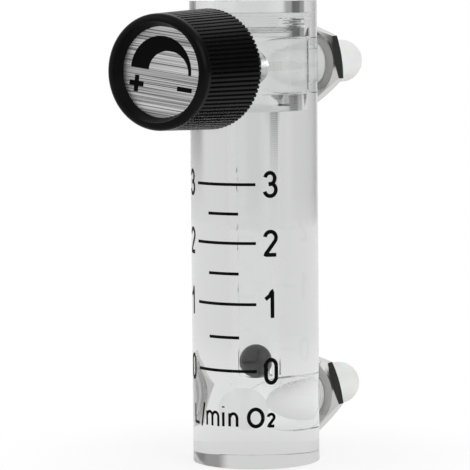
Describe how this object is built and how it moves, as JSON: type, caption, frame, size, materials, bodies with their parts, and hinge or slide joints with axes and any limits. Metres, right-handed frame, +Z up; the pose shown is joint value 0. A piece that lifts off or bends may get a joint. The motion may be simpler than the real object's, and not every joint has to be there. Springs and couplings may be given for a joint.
{
  "type": "gas flowmeter",
  "caption": "Clear acrylic rod flowmeter with a ball float in a tapered tube, a front needle valve knob and capped rear ports.",
  "frame": {"origin": "centre of the rod's flat foot, on the rod's axis", "axes": "+Z up the rod, -Y the front where the knob is, +X to the right seen from the front"},
  "size_m": [0.0242, 0.0747, 0.088],
  "materials": {
    "clear_acrylic": "polished clear acrylic",
    "clear_silicone": "clear silicone",
    "black_ball": "polished black",
    "bright_nickel": "bright nickel plate",
    "steel": "turned steel",
    "black_rubber": "matt rubber",
    "white_resin": "white resin",
    "black_knob": "satin black moulding",
    "brushed_disc": "brushed, with black print",
    "white_cap": "soft white moulding"
  },
  "bodies": {
    "housing": {"acrylic_rod": "clear_acrylic", "top_plug": "clear_acrylic", "plug_seal_ring": "clear_silicone", "lower_float_seat": "clear_acrylic", "upper_float_stop": "clear_acrylic", "valve_sleeve": "clear_acrylic", "valve_bushing": "bright_nickel", "bushing_seal_ring": "black_rubber", "gland_nut": "bright_nickel", "needle_seat": "clear_acrylic", "upper_port_tube": "clear_acrylic", "lower_port_tube": "clear_acrylic", "upper_hex_nut": "bright_nickel", "lower_hex_nut": "bright_nickel"},
    "stem_carriage": {"stem_seal_ring": "black_rubber"},
    "knob_and_stem": {"knob": "black_knob", "knob_disc": "brushed_disc", "knob_screw": "steel", "valve_stem": "steel", "needle_tip": "white_resin"},
    "float": {"float_ball": "black_ball"},
    "upper_cap": {"upper_dust_cap": "white_cap"},
    "lower_cap": {"lower_dust_cap": "white_cap"}
  },
  "joints": [
    {"name": "valve_travel", "type": "slide", "parent": "housing", "child": "stem_carriage", "axis": [0, -1, 0], "range_m": [0, 0.00175]},
    {"name": "valve_turn", "type": "hinge", "parent": "stem_carriage", "child": "knob_and_stem", "pos_m": [0, -0.02, 0.0755], "axis": [0, -1, 0], "range_deg": [0, 1260]},
    {"name": "float_rise", "type": "slide", "parent": "housing", "child": "float", "axis": [0, 0, 1], "range_m": [0, 0.04495]},
    {"name": "upper_cap_pull", "type": "slide", "parent": "housing", "child": "upper_cap", "axis": [0, 1, 0], "range_m": [0, 0.014]},
    {"name": "lower_cap_pull", "type": "slide", "parent": "housing", "child": "lower_cap", "axis": [0, 1, 0], "range_m": [0, 0.014]}
  ],
  "couplings": [
    {"joint": "valve_travel", "follows": "valve_turn", "m_per_rad": 0.000079577}
  ]
}
